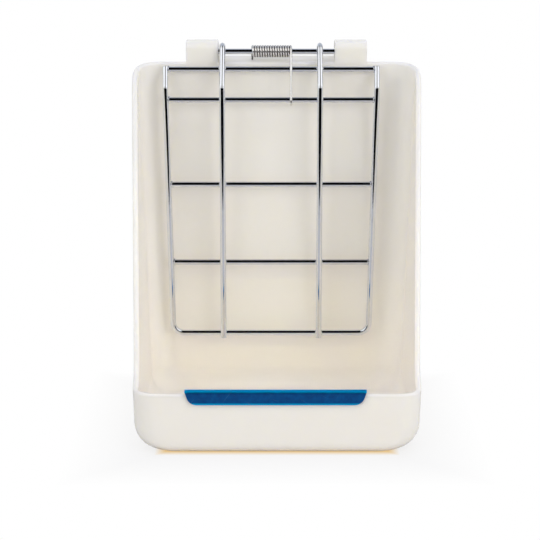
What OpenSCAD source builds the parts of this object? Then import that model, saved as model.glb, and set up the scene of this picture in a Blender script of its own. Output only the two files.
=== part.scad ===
// Hay feeder: a moulded bowl with a tall back wall, and a sprung wire grid hinged at its top.
// Millimetres. The base stands on z = 0, the bowl's front faces -Y and the back wall is at +Y.

/* [Body] */
// Height of the back wall's top edge above the base
body_h = 167.6; // [160:0.1:185]
// Depth of the body, from the front of the bowl to the back of the wall
body_d = 105.5; // [92:0.5:122]
// Outer width of the body at its base
base_w = 130.5; // [126:0.5:140]
// Outer width of the body at the back wall's top edge
top_w = 141; // [139:0.5:150]
// Thickness of the moulded walls and floor
wall = 2.6; // [2.2:0.1:3]
// Height of the bowl's front lip
lip_h = 28.3; // [20:0.1:40]
// Radius of the long edges where the sides meet the base
side_r = 12; // [6:0.5:18]
// Radius of the edge where the front meets the base
toe_r = 5; // [4:0.5:12]
// Radius of the edge where the back meets the base
heel_r = 12; // [6:0.5:20]
// Radius of the two upright front corners
front_r = 11; // [8:0.5:20]
// Radius of the two upright back corners
back_r = 15.6; // [8:0.2:17]

/* [Rim] */
// Level length of the rim behind the front of the bowl
lip_run = 17; // [16:0.5:26]
// Depth of the side walls at the top, before their corner is rounded
rim_top_d = 16; // [15.5:0.5:30]
// Radius where the level rim turns up along the side wall
rim_valley_r = 20; // [8:1:21]
// Radius where the side wall's edge turns into the top edge
rim_crown_r = 25; // [10:1:26]

/* [Hanger] */
// Width of each ear
ear_w = 15.9; // [10:0.1:20]
// Clear width between the ears
ear_gap = 57.4; // [53:0.1:60]
// Height of the ears above the back wall's top edge
ear_h = 10.2; // [10:0.1:14]
// Radius of the ears' upper edges
ear_r = 4; // [1:0.1:4.5]
// Depth of the top rail, from the front face of the wall to the back of the hooks
rail_d = 12.5; // [11.2:0.1:16]
// Thickness of the ledge under the ears
ledge_t = 2.5; // [2.2:0.1:4]
// Thickness of the hooks
hook_t = 3.5; // [2.5:0.1:5]
// Rise of the ledge between the ears, from the wall to the back of the rail
ledge_rise = 2.1; // [0:0.1:2.4]
// Length of the hooks below the ledge
hook_drop = 17; // [10:0.5:30]
// Radius of the hooks' lower edges
hook_r = 1; // [0.5:0.1:1.2]

/* [Hinge] */
// Diameter of the hinge rod
rod_d = 2.8; // [2.6:0.1:3]
// Distance of the rod's axis behind the front face of the wall
rod_inset = 2.4; // [2.2:0.1:2.5]
// Distance of the rod's axis below the top of the ears
rod_drop = 5.3; // [4.6:0.1:5.5]
// Clearance round the rod in its bores
rod_clear = 0.05; // [0.02:0.01:0.1]
// Thickness of the closed end of the left bore
bore_end = 2; // [1:0.1:4]
// Gap between the rod's left end and the closed end of its bore
rod_end_gap = 0.2; // [0.1:0.1:1]
// Distance of the rod's right end inside the right ear's outer face
rod_recess = 0.5; // [0.1:0.1:2]

/* [Grid] */
// Diameter of the grid's wires
wire_d = 2.9; // [2.4:0.1:3]
// Distance between the axes of the two uprights
upright_gap = 48; // [45:0.5:52]
// Width between the axes of the frame's sides at their upper ends
frame_top_w = 104.2; // [90:0.2:105.4]
// Width between the axes of the frame's sides at the bottom
frame_bottom_w = 99; // [84:0.5:101]
// Radius of the frame's bottom corners, on the wire's axis
frame_r = 5.5; // [3:0.5:15]
// Radius of the bend in the uprights, on the wire's axis
bend_r = 6; // [4:0.5:12]
// Forward slant of the grid between the rod and the bend, in degrees
slant = 29; // [28.5:0.5:33]
// Backward lean of the grid below the bend, in degrees
lean = 1; // [0:0.1:1.6]
// Drop from the rod's axis to the bend
bend_drop = 16.2; // [15.5:0.1:19]
// Drop from the rod's axis to the frame's upper ends
frame_top_drop = 7.1; // [7:0.1:8]
// Drop from the rod's axis to the axis of the frame's bottom wire
frame_drop = 141.6; // [120:0.5:155]
// Length of the uprights below the axis of the frame's bottom wire
upright_tail = 1.9; // [1.5:0.1:6]
// Drop from the rod's axis to the first cross wire
cross_1_drop = 8.3; // [7.6:0.1:9.6]
// Drop from the rod's axis to the second cross wire
cross_2_drop = 22.8; // [20.5:0.1:35]
// Drop from the rod's axis to the third cross wire
cross_3_drop = 65; // [50:0.5:80]
// Drop from the rod's axis to the fourth cross wire
cross_4_drop = 104.7; // [90:0.5:118]
// Depth to which welded wires sink into each other
weld_sink = 0.1; // [0.05:0.01:0.15]
// Clearance between the rod and the eyes of the uprights
eye_clear = 0.1; // [0.05:0.01:0.15]
// Turn of the eyes round the rod, in degrees
eye_turn = 265; // [220:5:265]
// Gap between the left eye and the left ear
eye_gap = 0.6; // [0.2:0.1:6]

/* [Spring] */
// Diameter of the spring's wire
spring_d = 1.15; // [0.6:0.05:1.2]
// Clearance between the rod and the coil
coil_clear = 0.5; // [0.35:0.05:0.8]
// Whole turns of the coil
coil_turns = 15; // [8:1:18]
// Gap between neighbouring turns of the coil
turn_gap = 0.09; // [0.05:0.01:0.5]
// Position of the coil's left end, from the middle of the feeder
coil_x = -12; // [-16:0.5:-6]
// Gap between the long leg and the cross wire that it presses on
leg_gap = 0.15; // [0.1:0.05:0.4]
// Radius of the bends in the long leg
leg_r = 1; // [0.6:0.1:1.1]
// Depth of the short leg's tip below the top of the wall
leg_depth = 2; // [1:0.1:4]
// Clearance round the short leg in its hole
leg_clear = 0.15; // [0.1:0.05:0.3]

/* [Chew guard] */
// Width of the guard along its top fold
guard_w = 82.5; // [60:0.5:98]
// Sideways place of the guard on the lip
guard_x = -0.7; // [-4:0.1:4]
// Width of the guard along its lower edge, before the corners are rounded
guard_low_w = 78; // [50:0.5:82]
// Radius of the guard's lower corners
guard_r = 4.5; // [1:0.5:6]
// Thickness of the guard's sheet
guard_t = 0.8; // [0.5:0.1:1.2]
// Radius of the fold, on its outer side
guard_fold_r = 0.9; // [0.6:0.1:2]
// Height of the front flange, from the top of the fold
guard_front_h = 6.3; // [4:0.1:14]
// Height of the rear flange, from the top of the fold
guard_back_h = 6; // [4:0.1:14]
// Gap between the guard's flanges and the lip
guard_gap = 0.05; // [0.02:0.01:0.2]
// Gap between the guard's fold and the top of the lip
guard_rise = 0.8; // [0.1:0.1:2]

/* [Hidden] */

// How far cutting shapes reach past what they cut
past = 2;
// How far a straight length of wire laps into a bend, and how much larger its radius is
lap = 0.1;
lap_step = 0.01;
// Flat steps in the rounded edges, in the bends and round the bent wires
round_steps = 8;
bend_steps = 5;
frame_sides = 14;
spring_sides = 6;
coil_steps = 14;
$fn = 64;

front_y = -body_d / 2;
back_y = body_d / 2;
wall_y = back_y - wall;
ear_top = body_h + ear_h;
ear_x = ear_gap / 2;
rail_x = ear_x + ear_w;
rail_y = wall_y + rail_d;
ledge_z = body_h - ledge_t;

rod_y = wall_y + rod_inset;
rod_z = ear_top - rod_drop;
rod_left = bore_end + rod_end_gap - rail_x;
rod_right = rail_x - rod_recess;

// The grid's side view, as [y, z]: directions down the wire, and square to it towards the wall
eye_r = rod_d / 2 + eye_clear + wire_d / 2;
layer = wire_d - weld_sink;
upper_down = [-sin(slant), -cos(slant)];
upper_back = [cos(slant), -sin(slant)];
lower_down = [sin(lean), -cos(lean)];
lower_back = [cos(lean), sin(lean)];
upright_top = [rod_y, rod_z] - eye_r * upper_back;
upright_bend = upright_top + upper_down * (upright_top[1] - rod_z + bend_drop) / cos(slant);
upright_end_z = rod_z - frame_drop - upright_tail;
upright_end = upright_bend + lower_down * (upright_bend[1] - upright_end_z) / cos(lean);
bend_cut = bend_r * tan((slant + lean) / 2);
rear_bend = upright_bend + layer * (upper_back + lower_back) / (1 + upper_back * lower_back);
grid_x = eye_gap + wire_d / 2 + upright_gap / 2 - ear_x;

coil_r = rod_d / 2 + coil_clear + spring_d / 2;
coil_pitch = spring_d + turn_gap;
coil_end = coil_turns * 360 + 180 - slant;
leg_x = coil_x + coil_pitch * coil_end / 360;
leg_off = (wire_d + spring_d) / 2 + leg_gap;

guard_top = lip_h + guard_rise + guard_t;
guard_low = guard_top - max(guard_front_h, guard_back_h);
guard_y = front_y - guard_gap - guard_t;
guard_d = wall + 2 * (guard_gap + guard_t);

function unit(v) = v / norm(v);

// Points of an arc of radius r that rounds the corner b of the line a, b, c
function corner(a, b, c, r, n) = r == 0 ? [b] :
    let (u = unit(a - b), v = unit(c - b), half = acos(u * v) / 2, turn = 180 - 2 * half)
    let (middle = b + unit(u + v) * r / sin(half))
    let (from = b + u * r / tan(half) - middle, to = b + v * r / tan(half) - middle)
    [for (i = [0:n]) middle + (from * sin(turn * (1 - i / n)) + to * sin(turn * i / n)) / sin(turn)];

// A closed outline whose corners are rounded
function rounded(p, r, n) =
    let (m = len(p))
    [for (i = [0:m - 1]) each corner(p[(i + m - 1) % m], p[i], p[(i + 1) % m], r[i], n)];

// An open line whose inner corners are rounded
function bent(p, r, n) =
    let (m = len(p))
    concat([p[0]], [for (i = [1:m - 2]) each corner(p[i - 1], p[i], p[i + 1], r[i], n)], [p[m - 1]]);

// Rings of points round a line, square to it
function rings_along(p, r, sides, across) =
    let (m = len(p))
    [for (i = [0:m - 1])
        let (along = unit(p[min(i + 1, m - 1)] - p[max(i - 1, 0)]))
        let (a = unit(cross(along, across)), b = cross(along, a))
        [for (k = [0:sides - 1]) p[i] + r * (a * cos(360 * k / sides) + b * sin(360 * k / sides))]];

// How far a rounded bottom edge has moved in, at height h above that edge
function edge_in(h, r) = h >= r ? 0 : r - sqrt(max(0, r * r - (r - h) * (r - h)));

function half_width(z) = base_w / 2 + (top_w - base_w) / 2 * z / body_h;

// Level outline of the body's surface at height z, moved in by the given distance
function body_ring(z, in) =
    let (x = half_width(z) - in - edge_in(z - in, side_r - in))
    let (y0 = front_y + in + edge_in(z - in, toe_r - in))
    let (y1 = back_y - in - edge_in(z - in, heel_r - in))
    let (rf = front_r - in, rb = back_r - in)
    [for (p = rounded([[x, y0], [x, y1], [-x, y1], [-x, y0]], [rf, rb, rb, rf], round_steps))
        [p[0], p[1], z]];

// Heights of the body's outlines, close together where the bottom edges are rounded
function body_levels(in, top) =
    let (r = max(side_r, heel_r, toe_r) - in)
    concat([for (i = [0:round_steps]) in + r * (1 - cos(90 * i / round_steps))], [top]);

// Side view of the grid's rear layer, where the frame and the cross wires lie
function rear_y(z) = z > rear_bend[1]
    ? rear_bend[0] + tan(slant) * (z - rear_bend[1])
    : rear_bend[0] + tan(lean) * (rear_bend[1] - z);

function frame_half(z) =
    let (low = rod_z - frame_drop, high = rod_z - frame_top_drop)
    (frame_bottom_w + (frame_top_w - frame_bottom_w) * (z - low) / (high - low)) / 2;

function frame_point(side, z) = [grid_x + side * frame_half(z), rear_y(z), z];

// A closed solid through rings of points
module skin(rings) {
    n = len(rings[0]);
    last = len(rings) - 1;
    polyhedron(
        points = [for (ring = rings) each ring],
        faces = concat(
            [[for (i = [0:n - 1]) i]],
            [for (k = [0:last - 1], i = [0:n - 1])
                [k * n + i, k * n + n + i, k * n + n + (i + 1) % n, k * n + (i + 1) % n]],
            [[for (i = [n - 1:-1:0]) last * n + i]]));
}

// Turns a shape drawn in side view, with y across and z up, so that it is x thick
module side_view(x = 0) {
    translate([x, 0, 0]) rotate([90, 0, 90]) children();
}

// A straight length that laps into the bends at its ends, a hair thicker than they are
module straight_wire(from, to, lap_to = lap) {
    step = to - from;
    translate(from) rotate([0, 0, atan2(step[1], step[0])]) rotate([0, 90, 0]) translate([0, 0, -lap])
        cylinder(d = wire_d + 2 * lap_step, h = lap + norm(step) + lap_to);
}

module curved_wire(middle, r, start, turn) {
    translate(middle) rotate([0, 0, start]) rotate_extrude(angle = turn)
        translate([r, 0]) circle(d = wire_d);
}

module body_shell() {
    intersection() {
        difference() {
            skin([for (z = body_levels(0, body_h + past)) body_ring(z, 0)]);
            skin([for (z = body_levels(wall, body_h + 2 * past)) body_ring(z, wall)]);
        }
        side_view(-top_w) linear_extrude(2 * top_w) polygon(rounded(
            [[front_y - past, -past], [front_y - past, lip_h], [front_y + lip_run, lip_h],
                [back_y - rim_top_d, body_h], [back_y + body_d, body_h], [back_y + body_d, -past]],
            [0, 0, rim_valley_r, rim_crown_r, 0, 0], 2 * round_steps));
    }
}

// One ear with the hook below it
module hanger_ear() {
    linear_extrude(ear_w) polygon(rounded(
        [[wall_y, ledge_z], [rail_y - hook_t, ledge_z], [rail_y - hook_t, ledge_z - hook_drop],
            [rail_y, ledge_z - hook_drop], [rail_y, ear_top], [wall_y, ear_top]],
        [0, 0, hook_r, hook_r, ear_r, ear_r], round_steps));
}

// The ledge between the ears, whose top slopes up behind the wall
module hanger_ledge() {
    linear_extrude(ear_gap) polygon(
        [[wall_y, ledge_z], [rail_y, ledge_z], [rail_y, body_h + ledge_rise],
            [back_y, body_h], [wall_y, body_h]]);
}

module feeder_body() {
    color([0.93, 0.9, 0.84]) difference() {
        union() {
            body_shell();
            side_view(-rail_x) hanger_ear();
            side_view(ear_x) hanger_ear();
            side_view(-ear_x) hanger_ledge();
        }
        translate([bore_end - rail_x, rod_y, rod_z]) rotate([0, 90, 0])
            cylinder(d = rod_d + 2 * rod_clear, h = 2 * rail_x - bore_end + past);
        translate([coil_x, rod_y + coil_r, ledge_z - past])
            cylinder(d = spring_d + 2 * leg_clear, h = ledge_t + ledge_rise + 2 * past);
    }
}

module chew_guard() {
    color([0.08, 0.35, 0.55]) intersection() {
        side_view(guard_x - guard_w / 2) linear_extrude(guard_w) polygon(rounded(
            [[guard_y, guard_top - guard_front_h], [guard_y, guard_top],
                [guard_y + guard_d, guard_top], [guard_y + guard_d, guard_top - guard_back_h],
                [guard_y + guard_d - guard_t, guard_top - guard_back_h],
                [guard_y + guard_d - guard_t, guard_top - guard_t],
                [guard_y + guard_t, guard_top - guard_t],
                [guard_y + guard_t, guard_top - guard_front_h]],
            [0, guard_fold_r, guard_fold_r, 0, 0, 0, 0, 0], round_steps));
        translate([guard_x, guard_y + guard_d + past, 0]) rotate([90, 0, 0])
            linear_extrude(guard_d + 2 * past) polygon(rounded(
                [[-guard_w / 2, guard_top], [-guard_low_w / 2, guard_low],
                    [guard_low_w / 2, guard_low], [guard_w / 2, guard_top]],
                [0, guard_r, guard_r, 0], round_steps));
    }
}

module hinge_rod() {
    color([0.75, 0.75, 0.77]) translate([rod_left, rod_y, rod_z]) rotate([0, 90, 0])
        cylinder(d = rod_d, h = rod_right - rod_left);
}

module torsion_spring() {
    leg_z = rod_z - cross_1_drop;
    hook_z = rod_z - cross_2_drop;
    start = [rod_y, rod_z] - coil_r * upper_back;
    knee = start + upper_down * (start[1] - leg_z) / cos(slant);
    press = [rear_y(hook_z), hook_z] - leg_off * lower_back;
    toe = press + leg_off * lower_down;
    tip = toe + (leg_off + wire_d / 2) * lower_back;
    coil = [for (i = [0:ceil(coil_end * coil_steps / 360)])
        let (a = min(i * 360 / coil_steps, coil_end))
        [coil_x + coil_pitch * a / 360, rod_y + coil_r * cos(a), rod_z + coil_r * sin(a)]];
    leg = bent([for (p = [start, knee, press, toe, tip]) [leg_x, p[0], p[1]]],
        [0, leg_r, leg_r, leg_r, 0], bend_steps);
    path = concat([[coil_x, rod_y + coil_r, body_h - leg_depth]], coil,
        [for (i = [1:len(leg) - 1]) leg[i]]);
    color([0.62, 0.58, 0.52]) skin(rings_along(path, spring_d / 2, spring_sides, [1, 0, 0]));
}

module grid_frame_wire() {
    high = rod_z - frame_top_drop;
    low = rod_z - frame_drop;
    middle = rear_bend[1];
    path = bent([frame_point(-1, high), frame_point(-1, middle), frame_point(-1, low),
            frame_point(1, low), frame_point(1, middle), frame_point(1, high)],
        [0, bend_r - layer, frame_r, frame_r, bend_r - layer, 0], bend_steps);
    color([0.8, 0.8, 0.82]) skin(rings_along(path, wire_d / 2, frame_sides, [0, 1, 0]));
}

module grid_upright(side) {
    bend_from = upright_bend - upper_down * bend_cut;
    bend_to = upright_bend + lower_down * bend_cut;
    color([0.8, 0.8, 0.82]) side_view(grid_x + side * upright_gap / 2) {
        curved_wire([rod_y, rod_z], eye_r, 180 - slant - eye_turn, eye_turn);
        straight_wire(upright_top, bend_from);
        curved_wire(bend_from + upper_back * bend_r, bend_r, 180 - slant, slant + lean);
        straight_wire(bend_to, upright_end, 0);
    }
}

module grid_cross_wire(drop) {
    z = rod_z - drop;
    reach = frame_half(z) - wire_d / 2 + weld_sink;
    color([0.8, 0.8, 0.82]) translate([grid_x - reach, rear_y(z), z]) rotate([0, 90, 0])
        cylinder(d = wire_d, h = 2 * reach);
}

feeder_body();
chew_guard();
hinge_rod();
torsion_spring();
grid_frame_wire();
grid_upright(-1);  // grid_upright_left
grid_upright(1);  // grid_upright_right
grid_cross_wire(cross_1_drop);  // grid_cross_wire_1
grid_cross_wire(cross_2_drop);  // grid_cross_wire_2
grid_cross_wire(cross_3_drop);  // grid_cross_wire_3
grid_cross_wire(cross_4_drop);  // grid_cross_wire_4
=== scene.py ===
# %% [markdown]
# # A hay feeder, dressed piece by piece
# The feeder is a moulded bowl with a tall back wall. A chromed wire grid hangs from a rod at the
# top of that wall, and a torsion spring on the rod presses the grid against the hay. The
# construction already exists as solids with joints. It is loaded first and stays where it is.
# Each piece made below stands for one of those solids, or adds a detail to it. All but the spring
# move with the same body.

# %% Load the construction
import math

import bpy
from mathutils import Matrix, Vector


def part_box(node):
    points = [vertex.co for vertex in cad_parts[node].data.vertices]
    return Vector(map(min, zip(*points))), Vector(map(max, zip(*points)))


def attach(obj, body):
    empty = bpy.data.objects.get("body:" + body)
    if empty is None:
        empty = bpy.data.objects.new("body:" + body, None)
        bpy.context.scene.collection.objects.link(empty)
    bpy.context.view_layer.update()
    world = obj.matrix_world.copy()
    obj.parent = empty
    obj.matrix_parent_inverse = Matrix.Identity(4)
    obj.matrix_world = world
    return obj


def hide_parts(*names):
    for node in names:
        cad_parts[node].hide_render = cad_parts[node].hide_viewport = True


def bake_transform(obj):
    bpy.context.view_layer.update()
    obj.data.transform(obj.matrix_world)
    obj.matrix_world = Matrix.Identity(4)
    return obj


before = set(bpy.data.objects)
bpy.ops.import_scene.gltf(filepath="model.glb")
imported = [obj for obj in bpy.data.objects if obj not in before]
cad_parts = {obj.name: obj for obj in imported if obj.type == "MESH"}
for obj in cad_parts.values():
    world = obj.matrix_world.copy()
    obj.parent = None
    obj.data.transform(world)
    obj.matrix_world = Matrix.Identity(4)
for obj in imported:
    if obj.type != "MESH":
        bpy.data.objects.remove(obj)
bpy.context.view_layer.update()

print("nodes:", sorted(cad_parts))

# %% [markdown]
# ## Measures
# Blender counts in metres, but a maker thinks in millimetres. All sizes here are in millimetres,
# and MM turns them into metres where Blender is handed them. Places that the box of a loaded solid
# gives are read from it, so the looks follow the construction. The other sizes are given.

# %% Units and places read from the solids
MM = 0.001


def box_mm(node):
    low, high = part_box(node)
    return low / MM, high / MM


def middle_of(node):
    low, high = box_mm(node)
    return (low + high) / 2


body_low, body_high = box_mm("feeder_body")
rod_low, rod_high = box_mm("hinge_rod")
rod_middle = middle_of("hinge_rod")
ROD_Y, ROD_Z = rod_middle.y, rod_middle.z
ROD_R = (rod_high.z - rod_low.z) / 2
CROSS = [middle_of(f"grid_cross_wire_{number}") for number in (1, 2, 3, 4)]
wire_low, wire_high = box_mm("grid_cross_wire_1")
WIRE_R = (wire_high.z - wire_low.z) / 2
GRID_X = CROSS[0].x
print(f"rod axis at y {ROD_Y:.2f}, z {ROD_Z:.2f} mm, wire diameter {2 * WIRE_R:.2f} mm")

# %% [markdown]
# ## Small helpers for nodes
# Materials and Geometry Nodes are both trees of nodes. One function adds a node, sets what it is
# told and links what it is given, so that each tree reads as a list of steps. Colours are written
# as the hex values seen on a screen, and one function turns them into the linear values that light
# is worked out with.

# %% Node and colour helpers
# A Mix node has sockets for numbers, vectors and colours. These are the places of those for colours.
FACTOR, COLOUR_A, COLOUR_B, MIXED = 0, 6, 7, 2
COLOURS = {"data_type": "RGBA"}


def add_node(tree, kind, settings=None, inputs=None):
    node = tree.nodes.new(kind)
    for name, value in (settings or {}).items():
        setattr(node, name, value)
    for key, value in (inputs or {}).items():
        if isinstance(value, bpy.types.NodeSocket):
            tree.links.new(value, node.inputs[key])
        else:
            node.inputs[key].default_value = value
    return node


def linear(hex_colour):
    """Linear red, green, blue and alpha, by the curve of the sRGB standard."""
    shares = [int(hex_colour[i:i + 2], 16) / 255 for i in (1, 3, 5)]
    return [s / 12.92 if s <= 0.04045 else ((s + 0.055) / 1.055) ** 2.4 for s in shares] + [1.0]


def new_material(name):
    material = bpy.data.materials.new(name)
    material.use_nodes = True
    tree = material.node_tree
    place = add_node(tree, "ShaderNodeTexCoord").outputs["Object"]
    return material, tree, tree.nodes["Principled BSDF"], place


def per_mm(size):
    """Texture scale for a pattern whose grains are this many millimetres wide."""
    return 1 / (size * MM)


print("white as linear light:", linear("#ffffff"))

# %% [markdown]
# ## Moulded ABS
# The body is injection moulded from cream ABS, a hard plastic with a soft gloss. The mould's polish
# is never perfect, so the gloss wavers a little from place to place, and the colour drifts by a
# shade where the melt cooled at another speed. A few specks of dust and fine rubbed lines show that
# it is a real surface. Plastic this pale lets light a few millimetres in, and the wall is thinner
# than that. Subsurface scattering carries light through it, so that the inside of the bowl is
# nearly as bright as the front, and a little warmer.

# %% Cream plastic
# Widths of the patterns, and how far light goes in
CLOUD, DUST_APART, RUBBED_LINE, RIPPLE, LIGHT_DEPTH = 38, 7, 1.2, 9, 3.5


def moulded_cream_abs():
    material, tree, shader, place = new_material("moulded_cream_abs")
    cloud = add_node(tree, "ShaderNodeTexNoise", {}, {
        "Vector": place, "Scale": per_mm(CLOUD), "Detail": 2.0})
    cream = add_node(tree, "ShaderNodeMix", COLOURS, {
        FACTOR: cloud.outputs["Fac"], COLOUR_A: linear("#fdf5ed"), COLOUR_B: linear("#fbf2e8")})
    # Dust caught in the surface: dots about half a millimetre wide, in the few cells of a bright colour
    dots = add_node(tree, "ShaderNodeTexVoronoi", {}, {"Vector": place, "Scale": per_mm(DUST_APART)})
    chosen = add_node(tree, "ShaderNodeMath", {"operation": "GREATER_THAN"}, {
        0: dots.outputs["Color"], 1: 0.9})
    spot = add_node(tree, "ShaderNodeMapRange", {}, {
        "Value": dots.outputs["Distance"], "From Min": 0.03, "From Max": 0.05,
        "To Min": 0.35, "To Max": 0.0})
    speck = add_node(tree, "ShaderNodeMath", {"operation": "MULTIPLY"}, {
        0: chosen.outputs[0], 1: spot.outputs[0]})
    surface = add_node(tree, "ShaderNodeMix", COLOURS, {
        FACTOR: speck.outputs[0], COLOUR_A: cream.outputs[MIXED], COLOUR_B: linear("#8d7f63")})
    tree.links.new(surface.outputs[MIXED], shader.inputs["Base Color"])
    # Rubbed lines run along X, 25 times as long as they are wide
    stretched = add_node(tree, "ShaderNodeMapping", {}, {"Vector": place, "Scale": (0.04, 1.0, 1.0)})
    rubbed = add_node(tree, "ShaderNodeTexNoise", {}, {
        "Vector": stretched.outputs[0], "Scale": per_mm(RUBBED_LINE), "Detail": 3.0})
    gloss = add_node(tree, "ShaderNodeMapRange", {}, {
        "Value": rubbed.outputs["Fac"], "From Min": 0.3, "From Max": 0.7,
        "To Min": 0.24, "To Max": 0.27})
    tree.links.new(gloss.outputs[0], shader.inputs["Roughness"])
    # The mould's polish leaves wide ripples, too shallow to see except in the gloss
    ripple = add_node(tree, "ShaderNodeTexNoise", {}, {
        "Vector": place, "Scale": per_mm(RIPPLE), "Detail": 1.0})
    bump = add_node(tree, "ShaderNodeBump", {}, {
        "Height": ripple.outputs["Fac"], "Strength": 0.04, "Distance": 0.05 * MM})
    tree.links.new(bump.outputs[0], shader.inputs["Normal"])
    shader.inputs["IOR"].default_value = 1.53
    shader.inputs["Subsurface Weight"].default_value = 1.0
    shader.inputs["Subsurface Scale"].default_value = LIGHT_DEPTH * MM
    shader.inputs["Subsurface Radius"].default_value = (1.0, 1.0, 0.86)
    return material


CREAM = moulded_cream_abs()
print("made", CREAM.name)

# %% [markdown]
# ## Bright chrome on drawn wire
# The grid and the rod are steel wire, drawn through a die, bent, welded and then chromed. Chrome
# mirrors nearly everything at a slightly cool grey. The draw leaves hair-fine marks on the wire.
# They are far too fine to show, so they are drawn here as a grain about a third of a millimetre wide.

# %% Chrome
HAZE, GRAIN = 4, 0.35


def chromed_drawn_wire():
    material, tree, shader, place = new_material("chromed_drawn_wire")
    haze = add_node(tree, "ShaderNodeTexNoise", {}, {
        "Vector": place, "Scale": per_mm(HAZE), "Detail": 3.0})
    tint = add_node(tree, "ShaderNodeMix", COLOURS, {
        FACTOR: haze.outputs["Fac"], COLOUR_A: linear("#e9ebef"), COLOUR_B: linear("#dfe2e8")})
    tree.links.new(tint.outputs[MIXED], shader.inputs["Base Color"])
    gloss = add_node(tree, "ShaderNodeMapRange", {}, {
        "Value": haze.outputs["Fac"], "From Min": 0.3, "From Max": 0.7,
        "To Min": 0.05, "To Max": 0.11})
    tree.links.new(gloss.outputs[0], shader.inputs["Roughness"])
    grain = add_node(tree, "ShaderNodeTexNoise", {}, {
        "Vector": place, "Scale": per_mm(GRAIN), "Detail": 1.0})
    bump = add_node(tree, "ShaderNodeBump", {}, {
        "Height": grain.outputs["Fac"], "Strength": 0.03, "Distance": 0.05 * MM})
    tree.links.new(bump.outputs[0], shader.inputs["Normal"])
    shader.inputs["Metallic"].default_value = 1.0
    return material


CHROME = chromed_drawn_wire()
print("made", CHROME.name)

# %% [markdown]
# ## Tempered spring wire
# Spring wire is bright drawn steel that is tempered after winding. That leaves an oxide film so thin
# that it is nearly clear, and the wire mirrors as well as the chrome. Between the turns, where
# shade falls, ambient occlusion paints the wire a dark brown: painted shade.

# %% Spring steel
OXIDE, PAINTED_SHADE_REACH = 1.5, 0.6


def tempered_spring_wire():
    material, tree, shader, place = new_material("tempered_spring_wire")
    oxide = add_node(tree, "ShaderNodeTexNoise", {}, {
        "Vector": place, "Scale": per_mm(OXIDE), "Detail": 3.0})
    bright = add_node(tree, "ShaderNodeMix", COLOURS, {
        FACTOR: oxide.outputs["Fac"], COLOUR_A: linear("#fdfdfd"), COLOUR_B: linear("#f4f2ee")})
    # Painted shade: the gaps between the turns, found by ambient occlusion, are painted dark brown
    gap_occlusion = add_node(tree, "ShaderNodeAmbientOcclusion", {"samples": 8, "only_local": True}, {
        "Distance": PAINTED_SHADE_REACH * MM})
    unshaded_share = add_node(tree, "ShaderNodeMapRange", {}, {
        "Value": gap_occlusion.outputs["AO"], "From Min": 0.72, "From Max": 1.0})
    wound = add_node(tree, "ShaderNodeMix", COLOURS, {
        FACTOR: unshaded_share.outputs[0], COLOUR_A: linear("#7a420c"), COLOUR_B: bright.outputs[MIXED]})
    tree.links.new(wound.outputs[MIXED], shader.inputs["Base Color"])
    gloss = add_node(tree, "ShaderNodeMapRange", {}, {
        "Value": oxide.outputs["Fac"], "From Min": 0.3, "From Max": 0.7,
        "To Min": 0.05, "To Max": 0.1})
    tree.links.new(gloss.outputs[0], shader.inputs["Roughness"])
    shader.inputs["Metallic"].default_value = 1.0
    # The oxide film takes light away where it is looked through at a slant
    shader.inputs["Specular Tint"].default_value = linear("#6f7885")
    return material


SPRING_STEEL = tempered_spring_wire()
print("made", SPRING_STEEL.name)

# %% [markdown]
# ## Blue anodised aluminium
# The chew guard is a strip of aluminium sheet. Anodising grows a clear film that is dyed blue, so
# the metal still mirrors, but only blue comes back. The fold and the lower edge are painted a
# brighter blue than the flat front: a painted highlight, where the curved sheet catches light.
# Teeth and cleaning have left it mottled and crossed by fine scratches. They are drawn about a
# quarter of a millimetre wide, coarser than real ones, so that they show.

# %% Blue guard metal
MOTTLE, SCRATCH = 2.2, 0.5
FOLD_HIGHLIGHT_BAND, EDGE_HIGHLIGHT_BAND, BAND_SOFT = 0.8, 1.0, 0.3
guard_low, guard_high = box_mm("chew_guard")
FOLD_HIGHLIGHT_FROM, EDGE_HIGHLIGHT_TO = guard_high.z - FOLD_HIGHLIGHT_BAND, guard_low.z + EDGE_HIGHLIGHT_BAND


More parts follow.
